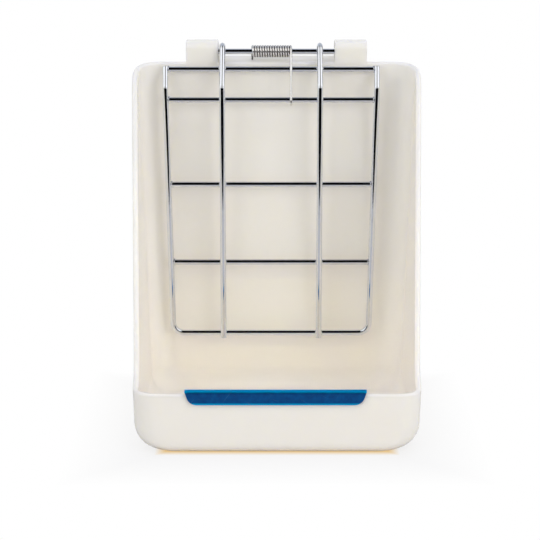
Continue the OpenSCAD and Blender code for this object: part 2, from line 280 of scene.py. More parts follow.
def blue_anodised_aluminium():
    material, tree, shader, place = new_material("blue_anodised_aluminium")
    mottle = add_node(tree, "ShaderNodeTexNoise", {}, {
        "Vector": place, "Scale": per_mm(MOTTLE), "Detail": 4.0})
    flat = add_node(tree, "ShaderNodeMix", COLOURS, {
        FACTOR: mottle.outputs["Fac"], COLOUR_A: linear("#1e4a88"), COLOUR_B: linear("#1d78c6")})
    # Painted highlight: by height, the fold and the lower edge are painted a brighter blue
    height = add_node(tree, "ShaderNodeSeparateXYZ", {}, {0: place}).outputs["Z"]
    fold_highlight = add_node(tree, "ShaderNodeMapRange", {}, {
        "Value": height, "From Min": FOLD_HIGHLIGHT_FROM * MM, "From Max": (FOLD_HIGHLIGHT_FROM + BAND_SOFT) * MM})
    edge_highlight = add_node(tree, "ShaderNodeMapRange", {}, {
        "Value": height, "From Min": EDGE_HIGHLIGHT_TO * MM, "From Max": (EDGE_HIGHLIGHT_TO - BAND_SOFT) * MM})
    painted_highlight_mask = add_node(tree, "ShaderNodeMath", {"operation": "MAXIMUM"}, {
        0: fold_highlight.outputs[0], 1: edge_highlight.outputs[0]})
    blue_with_painted_highlights = add_node(tree, "ShaderNodeMix", COLOURS, {
        FACTOR: painted_highlight_mask.outputs[0], COLOUR_A: flat.outputs[MIXED], COLOUR_B: linear("#0cb8f8")})
    # Two sets of scratches, each turned its own way and stretched along its length
    scratches = []
    for turn, stretch in ((0.9, 0.05), (-0.5, 0.07)):
        turned = add_node(tree, "ShaderNodeMapping", {}, {"Vector": place, "Rotation": (0.0, turn, 0.0)})
        drawn = add_node(tree, "ShaderNodeMapping", {}, {
            "Vector": turned.outputs[0], "Scale": (stretch, stretch, 1.0)})
        hairs = add_node(tree, "ShaderNodeTexNoise", {}, {
            "Vector": drawn.outputs[0], "Scale": per_mm(SCRATCH), "Detail": 1.0})
        scratches.append(add_node(tree, "ShaderNodeMapRange", {}, {
            "Value": hairs.outputs["Fac"], "From Min": 0.72, "From Max": 0.8,
            "To Min": 0.0, "To Max": 0.25}))
    marks = add_node(tree, "ShaderNodeMath", {"operation": "MAXIMUM"}, {
        0: scratches[0].outputs[0], 1: scratches[1].outputs[0]})
    worn = add_node(tree, "ShaderNodeMix", COLOURS, {
        FACTOR: marks.outputs[0], COLOUR_A: blue_with_painted_highlights.outputs[MIXED], COLOUR_B: linear("#6f9dc4")})
    tree.links.new(worn.outputs[MIXED], shader.inputs["Base Color"])
    gloss = add_node(tree, "ShaderNodeMapRange", {}, {
        "Value": mottle.outputs["Fac"], "From Min": 0.3, "From Max": 0.7,
        "To Min": 0.3, "To Max": 0.4})
    tree.links.new(gloss.outputs[0], shader.inputs["Roughness"])
    bump = add_node(tree, "ShaderNodeBump", {}, {
        "Height": mottle.outputs["Fac"], "Strength": 0.05, "Distance": 0.1 * MM})
    tree.links.new(bump.outputs[0], shader.inputs["Normal"])
    shader.inputs["Metallic"].default_value = 1.0
    # A metal turns whiter where it is seen at a slant, and the dye keeps that blue too
    shader.inputs["Specular Tint"].default_value = linear("#2f9ad8")
    return material


BLUE = blue_anodised_aluminium()
print("made", BLUE.name)

# %% [markdown]
# ## Making and keeping a mesh
# A piece is finished when its modifiers have been worked out and only a plain mesh is left, in its
# place, on an object that sits at the origin. Small helpers do that for every piece. They make an
# object from points and faces, add modifiers and work them out, set the shading and the material,
# and hand the piece to its body.

# %% Mesh helpers
def new_object(name, points, edges=(), faces=()):
    mesh = bpy.data.meshes.new(name)
    mesh.from_pydata([Vector(p) * MM for p in points], list(edges), list(faces))
    mesh.update()
    thing = bpy.data.objects.new(name, mesh)
    bpy.context.scene.collection.objects.link(thing)
    return thing


def add_modifier(thing, kind, **settings):
    modifier = thing.modifiers.new(kind.lower(), kind)
    for name, value in settings.items():
        setattr(modifier, name, value)
    return modifier


def flatten(thing):
    """Works out the modifiers and leaves the plain mesh."""
    bpy.context.view_layer.update()
    evaluated = thing.evaluated_get(bpy.context.evaluated_depsgraph_get())
    mesh = bpy.data.meshes.new_from_object(evaluated)
    thing.modifiers.clear()
    thing.data = mesh
    mesh.name = thing.name
    return thing


def shade(thing, sharp_angle):
    thing.data.shade_smooth()
    thing.data.set_sharp_from_angle(angle=math.radians(sharp_angle))


def wear(thing, material):
    thing.data.materials.clear()
    thing.data.materials.append(material)


def stand_for(thing, body, slot, *nodes):
    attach(thing, body)
    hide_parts(*nodes)
    count = len(thing.data.polygons)
    print(f"{thing.name}: {count} faces, rides on {body}, stands for {', '.join(nodes)}")


print("solids to dress:", len(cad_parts))

# %% [markdown]
# ## Rounded paths
# Wires, folds and outlines are all lines with rounded corners. One function rounds a single corner
# with an arc. Two more string straight stretches and arcs together, as an open line or a closed
# outline, and the last one reads the height of such a line.

# %% Corner and path helpers
def round_corner(before, corner, after, radius, steps):
    """Points on the arc that takes the place of a corner."""
    back = (before - corner).normalized()
    ahead = (after - corner).normalized()
    half = back.angle(ahead) / 2
    turn = math.pi - 2 * half
    centre = corner + (back + ahead).normalized() * radius / math.sin(half)
    start = corner + back * radius / math.tan(half) - centre
    end = corner + ahead * radius / math.tan(half) - centre
    arc = []
    for i in range(steps + 1):
        spoke = start * math.sin(turn * (1 - i / steps)) + end * math.sin(turn * i / steps)
        arc.append(centre + spoke / math.sin(turn))
    return arc


def rounded_line(points, radii, steps=10):
    """An open line through the points, whose inner corners have the given radii."""
    line = [points[0]]
    for i in range(1, len(points) - 1):
        line += round_corner(points[i - 1], points[i], points[i + 1], radii[i - 1], steps)
    return line + [points[-1]]


def rounded_loop(points, radii, steps=10):
    """A closed outline, where a radius of 0 leaves the corner sharp."""
    loop = []
    for i, radius in enumerate(radii):
        before, after = points[i - 1], points[(i + 1) % len(points)]
        loop += round_corner(before, points[i], after, radius, steps) if radius else [points[i]]
    return loop


def height_on(line, y):
    """Height of a line, given as points (y, z) that run towards +y, above the place y."""
    for near, far in zip(line, line[1:]):
        if near[0] <= y <= far[0] and far[0] > near[0]:
            return near[1] + (far[1] - near[1]) * (y - near[0]) / (far[0] - near[0])
    return line[-1][1] if y > line[-1][0] else line[0][1]


right_angle = [Vector((1, 0)), Vector((0, 0)), Vector((0, 1))]
print("a rounded right angle has", len(round_corner(*right_angle, radius=0.5, steps=10)), "points")

# %% [markdown]
# ## The moulded body
# The bowl, its side walls and the tall back wall are one shell of even thickness. It could be cut
# from a block with booleans, but its rim would then be hard to round. Here the shell is knitted
# from columns that run up the wall instead. Each column knows its place on the level outline and
# how high the rim is there, so the rim comes out as two clean lines of edges that a Bevel can round.

# %% Sizes of the body
BODY_H = 167.6
BASE_W = 130.5
TOP_W = body_high.x - body_low.x
WALL = 2.6
LIP_H = 28.3
SIDE_R, TOE_R, HEEL_R = 12.0, 5.0, 12.0
FRONT_R, BACK_R = 11.0, 15.6
FRONT_Y = body_low.y
BACK_Y = -FRONT_Y
LIP_RUN, RIM_TOP_D = 17.0, 16.0
RIM_VALLEY_R, RIM_CROWN_R = 20.0, 25.0
FILLET_STEPS, WALL_STEPS, SIDE_STEPS, CORNER_STEPS, RIM_STEPS = 12, 14, 60, 12, 24

RIM = rounded_line(
    [Vector((FRONT_Y, LIP_H)), Vector((FRONT_Y + LIP_RUN, LIP_H)),
     Vector((BACK_Y - RIM_TOP_D, BODY_H)), Vector((BACK_Y, BODY_H))],
    [RIM_VALLEY_R, RIM_CROWN_R], RIM_STEPS)
print(f"rim rises from {LIP_H} to {BODY_H} mm over {len(RIM)} points")

# %% [markdown]
# A column is named by its half of the body, by a zone, which is the front corner, the side or the
# back corner, and by how far along that zone it is. One rule turns that and a height into a point.
# The body widens upwards, and its bottom edges are rounded, so the point moves in near the bottom.

# %% The shell's columns
def moved_in(height, radius):
    """How far a rounded bottom edge has moved in, at a height above that edge."""
    if height >= radius:
        return 0.0
    return radius - math.sqrt(max(0.0, radius ** 2 - (radius - height) ** 2))


def wall_point(column, z, inset):
    side, zone, share = column
    half = BASE_W / 2 + (TOP_W - BASE_W) / 2 * z / BODY_H
    x = half - inset - moved_in(z - inset, SIDE_R - inset)
    front = FRONT_Y + inset + moved_in(z - inset, TOE_R - inset)
    back = BACK_Y - inset - moved_in(z - inset, HEEL_R - inset)
    front_r, back_r = FRONT_R - inset, BACK_R - inset
    angle = math.radians(90 * share)
    if zone == "front":
        x, y = x - front_r * (1 - math.sin(angle)), front + front_r * (1 - math.cos(angle))
    elif zone == "side":
        y = front + front_r + share * (back - back_r - front - front_r)
    else:
        x, y = x - back_r * (1 - math.cos(angle)), back - back_r * (1 - math.sin(angle))
    return Vector((side * x, y, z))


right_columns = [(1, "front", i / CORNER_STEPS) for i in range(CORNER_STEPS)]
right_columns += [(1, "side", i / SIDE_STEPS) for i in range(SIDE_STEPS)]
right_columns += [(1, "back", i / CORNER_STEPS) for i in range(CORNER_STEPS + 1)]
COLUMNS = right_columns + [(-1, zone, share) for _, zone, share in reversed(right_columns)]
print(len(COLUMNS), "columns run round the body")

# %% [markdown]
# The outer skin is knitted first, from the bottom up to the rim. The inner skin follows the same
# rule, set in by the thickness of the wall, and runs back down. Joined at the rim and closed at both
# bottoms, the two are one closed shell.

# %% The shell's surfaces
def shell_rows(inset):
    """Rows of points from the rounded bottom edge up to the rim, one point to a column."""
    largest = HEEL_R - inset
    heights = [
        inset + largest * (1 - math.cos(math.radians(90 * i / FILLET_STEPS)))
        for i in range(FILLET_STEPS + 1)]
    rims = [height_on(RIM, wall_point(column, LIP_H, inset).y) for column in COLUMNS]
    rows = [[wall_point(column, z, inset) for column in COLUMNS] for z in heights]
    for i in range(1, WALL_STEPS + 1):
        share = i / WALL_STEPS
        rows.append([
            wall_point(column, heights[-1] + (rim - heights[-1]) * share, inset)
            for column, rim in zip(COLUMNS, rims)])
    return rows


def tube_faces(rings, count):
    """Faces between rings of points that follow one another. The first and last ring are closed."""
    faces = [
        [ring * count + i, ring * count + (i + 1) % count,
         (ring + 1) * count + (i + 1) % count, (ring + 1) * count + i]
        for ring in range(rings - 1) for i in range(count)]
    first = list(range(count))[::-1]
    last = [(rings - 1) * count + i for i in range(count)]
    return faces + [first, last]


rows = shell_rows(0.0) + shell_rows(WALL)[::-1]
shell_points = [point for row in rows for point in row]
body = new_object("moulded_body", shell_points, faces=tube_faces(len(rows), len(COLUMNS)))
print("shell has", len(body.data.vertices), "points")

# %% [markdown]
# ## Ears, ledge and hooks
# At the top of the back wall stand two ears that hold the rod. A sloping ledge joins them, and
# behind each ear a hook reaches down to hang the feeder on a cage wire. Each is an outline in side
# view, pushed out sideways, so they are prisms. The shell and the ears get their rounded edges
# first, from a Bevel, and a Boolean union then grows them together. The other way round, the Bevel
# would have to find its way through the corners where rim, ear and ledge meet, and would pucker.

# %% Grow the hanger onto the shell
EAR_W, EAR_GAP, EAR_R = 15.9, 57.4, 4.0
LEDGE_T, LEDGE_RISE, HOOK_T = 2.5, 2.1, 3.5
HOOK_DROP, HOOK_R = 17.0, 1.0
RIM_R, EDGE_R, EAR_EDGE_R, LEDGE_LAP = 1.2, 0.8, 0.45, 3.0
EAR_TOP, RAIL_Y = body_high.z, body_high.y
WALL_Y = BACK_Y - WALL
# The ledge starts half way into the wall, so that the wall keeps its own rounded front edge
LEDGE_Y = BACK_Y - WALL / 2
LEDGE_Z = BODY_H - LEDGE_T
HOOK_Y = RAIL_Y - HOOK_T

EAR = rounded_loop(
    [Vector(p) for p in (
        (WALL_Y, LEDGE_Z), (HOOK_Y, LEDGE_Z), (HOOK_Y, LEDGE_Z - HOOK_DROP),
        (RAIL_Y, LEDGE_Z - HOOK_DROP), (RAIL_Y, EAR_TOP), (WALL_Y, EAR_TOP))],
    [0, 0, HOOK_R, HOOK_R, EAR_R, EAR_R])
LEDGE = rounded_loop(
    [Vector(p) for p in (
        (LEDGE_Y, LEDGE_Z), (RAIL_Y, LEDGE_Z), (RAIL_Y, BODY_H + LEDGE_RISE), (LEDGE_Y, BODY_H))],
    [0, EDGE_R, EDGE_R, 0], steps=6)


def prism(name, outline, x_from, x_to):
    points = [(x, p[0], p[1]) for x in (x_from, x_to) for p in outline]
    return new_object(name, points, faces=tube_faces(2, len(outline)))


def round_edges(thing, radius):
    add_modifier(thing, "BEVEL", width=radius * MM, segments=5, limit_method="ANGLE",
                 angle_limit=math.radians(40), use_clamp_overlap=False)
    return flatten(thing)


def combine(thing, tool, operation):
    add_modifier(thing, "BOOLEAN", operation=operation, solver="EXACT", object=tool)
    flatten(thing)
    bpy.data.objects.remove(tool)


rail = EAR_GAP / 2 + EAR_W
round_edges(body, RIM_R)
combine(body, round_edges(prism("ear_left", EAR, -rail, -EAR_GAP / 2), EAR_EDGE_R), "UNION")
combine(body, round_edges(prism("ear_right", EAR, EAR_GAP / 2, rail), EAR_EDGE_R), "UNION")
combine(body, prism("ledge", LEDGE, -EAR_GAP / 2 - LEDGE_LAP, EAR_GAP / 2 + LEDGE_LAP), "UNION")
print("moulding has", len(body.data.polygons), "faces after the union")

# %% [markdown]
# The rod fills its bore, so only two holes can be seen: the open end of the bore at the right, and
# the small hole that the spring's short leg drops into.

# %% Drill the holes
BORE_CLEAR = 0.05
LEG_HOLE_R, COIL_X, COIL_R = 0.725, -12.0, 2.475
# Long enough to go right through the ledge
LEG_DRILL = 4 * LEDGE_T


def drill(name, centre, axis, radius, length, sides=48):
    """A round tool that starts at the centre and runs along the axis."""
    along = Vector(axis)
    across = along.orthogonal().normalized()
    other = along.cross(across)
    turns = [math.tau * i / sides for i in range(sides)]
    points = [
        Vector(centre) + along * step + radius * (across * math.cos(turn) + other * math.sin(turn))
        for step in (0.0, length) for turn in turns]
    return new_object(name, points, faces=tube_faces(2, sides))


bore_start = (rod_high.x - BORE_CLEAR, ROD_Y, ROD_Z)
combine(body, drill("rod_bore", bore_start, (1, 0, 0), ROD_R + BORE_CLEAR, EAR_W), "DIFFERENCE")
leg_start = (COIL_X, ROD_Y + COIL_R, LEDGE_Z - LEDGE_T)
combine(body, drill("leg_hole", leg_start, (0, 0, 1), LEG_HOLE_R, LEG_DRILL), "DIFFERENCE")
shade(body, sharp_angle=35)
add_modifier(body, "WEIGHTED_NORMAL", keep_sharp=True)
flatten(body)
wear(body, CREAM)
stand_for(body, "housing", "cream_plastic", "feeder_body")

# %% [markdown]
# ## A wire that follows a path
# Every wire of the grid, the rod and the spring is a round section carried along a line. That is a
# rule, so a Geometry Nodes tree makes it: the line becomes a curve, a circle is swept along it and
# the ends are capped. A Bevel then takes the burr off the cut ends, as tumbling does on real wire.
# Smooth shading blends the directions of neighbouring faces, so without care a rounded end would
# bend the reflections along the whole straight wire. A ring of points close to each end stops that.

# %% The wire tree
def new_tree(name, inputs, output):
    """A tree with named inputs, each with its kind of socket, and one named output."""
    tree = bpy.data.node_groups.new(name, "GeometryNodeTree")
    for label, kind in inputs.items():
        tree.interface.new_socket(label, in_out="INPUT", socket_type=f"NodeSocket{kind}")
    tree.interface.new_socket(output, in_out="OUTPUT", socket_type="NodeSocketGeometry")
    return tree, add_node(tree, "NodeGroupInput").outputs


def end_tree(tree, shape, material, output):
    """Makes the shape a plain mesh in its material, because the export drops instances."""
    real = add_node(tree, "GeometryNodeRealizeInstances", {}, {"Geometry": shape})
    finished = add_node(tree, "GeometryNodeSetMaterial", {}, {
        "Geometry": real.outputs[0], "Material": material})
    add_node(tree, "NodeGroupOutput", {}, {output: finished.outputs[0]})
    return tree


def wire_tree():
    tree, given = new_tree("wire_along_path", {
        "Path": "Geometry", "Radius": "Float", "Sides": "Int", "Finish": "Material"}, "Wire")
    line = add_node(tree, "GeometryNodeMeshToCurve", {}, {"Mesh": given["Path"]})
    section = add_node(tree, "GeometryNodeCurvePrimitiveCircle", {}, {
        "Resolution": given["Sides"], "Radius": given["Radius"]})
    swept = add_node(tree, "GeometryNodeCurveToMesh", {}, {
        "Curve": line.outputs[0], "Profile Curve": section.outputs[0], "Fill Caps": True})
    return end_tree(tree, swept.outputs[0], given["Finish"], "Wire")


WIRE_TREE = wire_tree()
print("wire tree has", len(WIRE_TREE.nodes), "nodes")

# %% [markdown]
# A modifier runs the tree on a line of points, and the same few steps make every wire. Only the
# path, the thickness, the material, the burr and the number of sides differ. The rod is the
# simplest one, a straight wire from ear to ear.

# %% One wire from one path
END_RING, CUT_BURR, WIRE_SIDES = 0.45, 0.35, 28


def run_tree(thing, tree, values):
    """Adds the tree as a modifier and sets its inputs by their sockets' identifiers."""
    modifier = add_modifier(thing, "NODES", node_group=tree)
    for socket in tree.interface.items_tree:
        if socket.in_out == "INPUT" and socket.name in values:
            modifier[socket.identifier] = values[socket.name]


def near_ends(path):
    """The path with one more point just inside each end."""
    path = [Vector(p) for p in path]
    first = path[0] + (path[1] - path[0]).normalized() * END_RING
    last = path[-1] + (path[-2] - path[-1]).normalized() * END_RING
    return [path[0], first] + path[1:-1] + [last, path[-1]]


def wire_piece(name, path, radius, material, burr=CUT_BURR, sides=WIRE_SIDES):
    path = near_ends(path)
    thing = new_object(name, path, edges=[(i, i + 1) for i in range(len(path) - 1)])
    run_tree(thing, WIRE_TREE, {"Radius": radius * MM, "Sides": sides, "Finish": material})
    add_modifier(thing, "BEVEL", width=burr * MM, segments=3, limit_method="ANGLE",
                 angle_limit=math.radians(60))
    flatten(thing)
    shade(thing, sharp_angle=50)
    return thing


rod_path = [(x, ROD_Y, ROD_Z) for x in (rod_low.x, rod_high.x)]
rod = wire_piece("rod_wire", rod_path, ROD_R, CHROME)
stand_for(rod, "hinge_rod", "chromed_wire", "hinge_rod")

# %% [markdown]
# ## The grid
# In side view the grid hangs from the rod by two eyes, slants forward past the top of the wall and
# then falls almost straight. The uprights are the front layer, and the frame and the cross wires
# are welded to their backs. The bends are worked out once in side view and shared by both layers.

# %% Side view of the grid
SLANT, LEAN = math.radians(29), math.radians(1)
BEND_DROP, BEND_R = 16.2, 6.0
EYE_CLEAR, EYE_TURN, EYE_STEPS = 0.1, 265, 40
WELD_SINK = 0.1
UPRIGHT_TAIL, FRAME_TOP_DROP, FRAME_R = 1.9, 7.1, 5.5
FRAME_TOP_HALF, FRAME_LOW_HALF = 52.1, 49.5

rod_axis = Vector((ROD_Y, ROD_Z))
eye_r = ROD_R + EYE_CLEAR + WIRE_R
layer = 2 * WIRE_R - WELD_SINK
upper_down = Vector((-math.sin(SLANT), -math.cos(SLANT)))
upper_back = Vector((math.cos(SLANT), -math.sin(SLANT)))
lower_down = Vector((math.sin(LEAN), -math.cos(LEAN)))
lower_back = Vector((math.cos(LEAN), math.sin(LEAN)))
upright_top = rod_axis - eye_r * upper_back
upright_bend = upright_top + upper_down * (upright_top.y - ROD_Z + BEND_DROP) / math.cos(SLANT)
rear_bend = upright_bend + layer * (upper_back + lower_back) / (1 + upper_back.dot(lower_back))
frame_low, _ = box_mm("grid_frame_wire")
LOW_Z, HIGH_Z = frame_low.z + WIRE_R, ROD_Z - FRAME_TOP_DROP
print(f"uprights bend at y {upright_bend.x:.2f}, z {upright_bend.y:.2f} mm")

# %% [markdown]
# Each upright is one wire. Its upper end is rolled round the rod by about three quarters of a turn,
# which makes the eye, and its lower end reaches a little past the bottom wire of the frame.

# %% Uprights
def upright_path(x):
    tail = LOW_Z - UPRIGHT_TAIL
    end = upright_bend + lower_down * (upright_bend.y - tail) / math.cos(LEAN)
    turns = [
        math.pi - SLANT - math.radians(EYE_TURN * (1 - i / EYE_STEPS))
        for i in range(EYE_STEPS + 1)]
    eye = [rod_axis + eye_r * Vector((math.cos(turn), math.sin(turn))) for turn in turns]
    line = eye[:-1] + rounded_line([upright_top, upright_bend, end], [BEND_R])
    return [(x, p.x, p.y) for p in line]


for side in ("left", "right"):
    node = f"grid_upright_{side}"
    piece = wire_piece(f"upright_wire_{side}", upright_path(middle_of(node).x), WIRE_R, CHROME)
    stand_for(piece, "grid", "chromed_wire", node)

# %% [markdown]
# The frame is one wire as well: down the left side, along the bottom and up the right side. It is
# a little wider at the top than at the bottom. The four cross wires lie level between its sides.

# %% Frame and cross wires
def rear_y(z):
    rise = z - rear_bend.y
    return rear_bend.x + (math.tan(SLANT) * rise if rise > 0 else -math.tan(LEAN) * rise)


def frame_half(z):
    return FRAME_LOW_HALF + (FRAME_TOP_HALF - FRAME_LOW_HALF) * (z - LOW_Z) / (HIGH_Z - LOW_Z)


def frame_point(side, z):
    return Vector((GRID_X + side * frame_half(z), rear_y(z), z))


frame_path = rounded_line(
    [frame_point(-1, HIGH_Z), frame_point(-1, rear_bend.y), frame_point(-1, LOW_Z),
     frame_point(1, LOW_Z), frame_point(1, rear_bend.y), frame_point(1, HIGH_Z)],
    [BEND_R - layer, FRAME_R, FRAME_R, BEND_R - layer], steps=14)
piece = wire_piece("frame_wire", frame_path, WIRE_R, CHROME)
stand_for(piece, "grid", "chromed_wire", "grid_frame_wire")

for number, centre in enumerate(CROSS, 1):
    node = f"grid_cross_wire_{number}"
    low, high = box_mm(node)
    path = [(low.x, centre.y, centre.z), (high.x, centre.y, centre.z)]
    piece = wire_piece(f"cross_wire_{number}", path, WIRE_R, CHROME)
    stand_for(piece, "grid", "chromed_wire", node)

# %% [markdown]
# ## Weld nuggets
# Where two wires cross, a welding machine presses them together and a burst of current melts a
# small lens of steel between them. The same lens sits at every crossing, only a little larger or
# smaller, so a Geometry Nodes tree sets one on each point of a list and varies its size from a
# fixed seed.

# %% Nuggets on every crossing
NUGGET_ROUND, NUGGET_FLAT, NUGGET_SEED = 1.75, 0.8, 7
NUGGET_LEAST, NUGGET_MOST = 0.9, 1.08


def nugget_tree():
    tree, given = new_tree("weld_nuggets", {
        "Crossings": "Geometry", "Round": "Float", "Flat": "Float", "Seed": "Int",
        "Finish": "Material"}, "Nuggets")
    size = add_node(tree, "ShaderNodeCombineXYZ", {}, {
        "X": given["Round"], "Y": given["Flat"], "Z": given["Round"]})
    ball = add_node(tree, "GeometryNodeMeshIcoSphere", {}, {"Radius": 1.0, "Subdivisions": 3})
    lens = add_node(tree, "GeometryNodeTransform", {}, {
        "Geometry": ball.outputs[0], "Scale": size.outputs[0]})
    vary = add_node(tree, "FunctionNodeRandomValue", {"data_type": "FLOAT"}, {
        2: NUGGET_LEAST, 3: NUGGET_MOST, "Seed": given["Seed"]})
    placed = add_node(tree, "GeometryNodeInstanceOnPoints", {}, {
        "Points": given["Crossings"], "Instance": lens.outputs[0], "Scale": vary.outputs[1]})
    return end_tree(tree, placed.outputs[0], given["Finish"], "Nuggets")


uprights_x = [middle_of(f"grid_upright_{side}").x for side in ("left", "right")]
levels = [(c.y, c.z) for c in CROSS] + [(rear_y(LOW_Z), LOW_Z)]
crossings = []
for y, z in levels:
    back = upper_back if z > rear_bend.y else lower_back
    touch = Vector((y, z)) - layer / 2 * back
    crossings += [(x, touch.x, touch.y) for x in uprights_x]
for centre in CROSS:
    reach = frame_half(centre.z) - WIRE_R
    crossings += [(GRID_X + side * reach, centre.y, centre.z) for side in (-1, 1)]
nuggets = new_object("weld_nuggets", crossings)
run_tree(nuggets, nugget_tree(), {
    "Round": NUGGET_ROUND * MM, "Flat": NUGGET_FLAT * MM, "Seed": NUGGET_SEED, "Finish": CHROME})
flatten(nuggets)
shade(nuggets, sharp_angle=180)
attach(nuggets, "grid")
print("weld_nuggets:", len(crossings), "crossings")

# %% [markdown]
# ## The torsion spring
# The spring is wound round the rod from left to right. Its short leg drops into a hole in the
# ledge, and its long leg lies on the grid and hooks under the second cross wire. When the grid
# swings up the long leg goes with it and the turns twist, each a little more than the one before.

# %% Coil and legs
SPRING_R, COIL_TURNS, COIL_PITCH, COIL_STEPS = 0.575, 15, 1.24, 28
LEG_GAP, LEG_R, LEG_DEPTH = 0.15, 1.0, 2.0
SPRING_BURR, SPRING_SIDES = 0.12, 12
coil_end = COIL_TURNS * 360 + 180 - math.degrees(SLANT)
leg_x = COIL_X + COIL_PITCH * coil_end / 360
leg_off = WIRE_R + SPRING_R + LEG_GAP


def coil_point(degrees):
    turn = math.radians(degrees)
    return Vector((COIL_X + COIL_PITCH * degrees / 360,
                   ROD_Y + COIL_R * math.cos(turn), ROD_Z + COIL_R * math.sin(turn)))


def coil_path():
    steps = math.ceil(coil_end * COIL_STEPS / 360)
    return [coil_point(min(i * 360 / COIL_STEPS, coil_end)) for i in range(steps + 1)]


def long_leg():
    start = rod_axis - COIL_R * upper_back
    knee = start + upper_down * (start.y - CROSS[0].z) / math.cos(SLANT)
    press = Vector((CROSS[1].y, CROSS[1].z)) - leg_off * lower_back
    toe = press + leg_off * lower_down
    tip = toe + (leg_off + WIRE_R) * lower_back
    corners = [Vector((leg_x, p.x, p.y)) for p in (start, knee, press, toe, tip)]
    return rounded_line(corners, [LEG_R] * 3, steps=8)


short_leg_end = Vector((COIL_X, ROD_Y + COIL_R, BODY_H - LEG_DEPTH))
spring_path = [short_leg_end] + coil_path() + long_leg()[1:]
spring = wire_piece("spring_wire", spring_path, SPRING_R, SPRING_STEEL, SPRING_BURR, SPRING_SIDES)
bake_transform(spring)
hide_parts("torsion_spring")
print(f"spring_wire: {COIL_TURNS} turns, {len(spring.data.polygons)} faces")

# %% [markdown]
# ## The chew guard
# A strip of blue sheet is folded over the front lip so that teeth meet metal. Sheet is easiest to
# model as a surface first: a fold in side view, drawn out to the width that the strip has at each
# height, because its ends slant and its lower corners are round. Solidify then gives it thickness,
# and a small Bevel rounds the sheared edges.

# %% Folded strip
GUARD_X = (guard_low.x + guard_high.x) / 2
GUARD_W, GUARD_LOW_W, GUARD_R = guard_high.x - guard_low.x, 78.0, 4.5
GUARD_T, GUARD_FOLD_R, GUARD_EDGE_R = 0.8, 0.9, 0.25
GUARD_BACK_H, GUARD_FLARE = 6.0, 0.1
GUARD_COLUMNS, GUARD_ROWS = 60, 10

strip_top = Vector((GUARD_W / 2, guard_high.z))
strip_corner = Vector((GUARD_LOW_W / 2, guard_low.z))
strip_side = round_corner(strip_top, strip_corner, Vector((0, guard_low.z)), GUARD_R, steps=24)
edge_by_height = [Vector((p.y, p.x)) for p in reversed([strip_top] + strip_side)]


def flange(y_low, y_high, z_low, z_high):
    """Points up a flange, close together at its lower edge, where the corner is round."""
    shares = [1 - math.cos(math.radians(90 * i / GUARD_ROWS)) for i in range(GUARD_ROWS + 1)]
    return [Vector((y_low + (y_high - y_low) * s, z_low + (z_high - z_low) * s)) for s in shares]


fold_z = guard_high.z - GUARD_FOLD_R
front_flange = flange(guard_low.y - GUARD_FLARE, guard_low.y, guard_low.z, fold_z)
back_flange = flange(guard_high.y, guard_high.y, guard_high.z - GUARD_BACK_H, fold_z)
fold = rounded_line(
    [Vector((guard_low.y, fold_z)), Vector((guard_low.y, guard_high.z)),
     Vector((guard_high.y, guard_high.z)), Vector((guard_high.y, fold_z))],
    [GUARD_FOLD_R] * 2, steps=8)
section = front_flange[:-1] + fold[1:-1] + back_flange[::-1]
points = [
    (GUARD_X + height_on(edge_by_height, p.y) * (2 * column / GUARD_COLUMNS - 1), p.x, p.y)
    for p in section for column in range(GUARD_COLUMNS + 1)]
across = GUARD_COLUMNS + 1
faces = [
    [row * across + column, row * across + column + 1,
     (row + 1) * across + column + 1, (row + 1) * across + column]
    for row in range(len(section) - 1) for column in range(GUARD_COLUMNS)]
guard = new_object("folded_guard", points, faces=faces)
add_modifier(guard, "SOLIDIFY", thickness=GUARD_T * MM, offset=-1.0, use_even_offset=True)
add_modifier(guard, "BEVEL", width=GUARD_EDGE_R * MM, segments=3, limit_method="ANGLE",
             angle_limit=math.radians(60))
flatten(guard)
shade(guard, sharp_angle=40)
wear(guard, BLUE)
stand_for(guard, "housing", "blue_sheet", "chew_guard")

# %% [markdown]
# ## Floor
# The feeder stands on a floor of white paper. To the camera the paper is lifted to pure white away
# from the feeder, and close by it keeps a share of its own shade, where the shadow lies. Right under
# the plastic the light that gets there has bounced off cream many times, so a warm tint is painted
# on the paper there, and its glow to the camera is warm too: painted bounce light.

# %% Floor paper
FLOOR_BACK, FLOOR_SIDE, FLOOR_FRONT = 2500.0, 2500.0, -420.0
FOOT_X, FOOT_FRONT, FOOT_BACK, FOOT_SOFT, SHADE_REACH = 51.0, -49.0, 36.0, 5.0, 45.0
NEAR_LIFT = 0.76


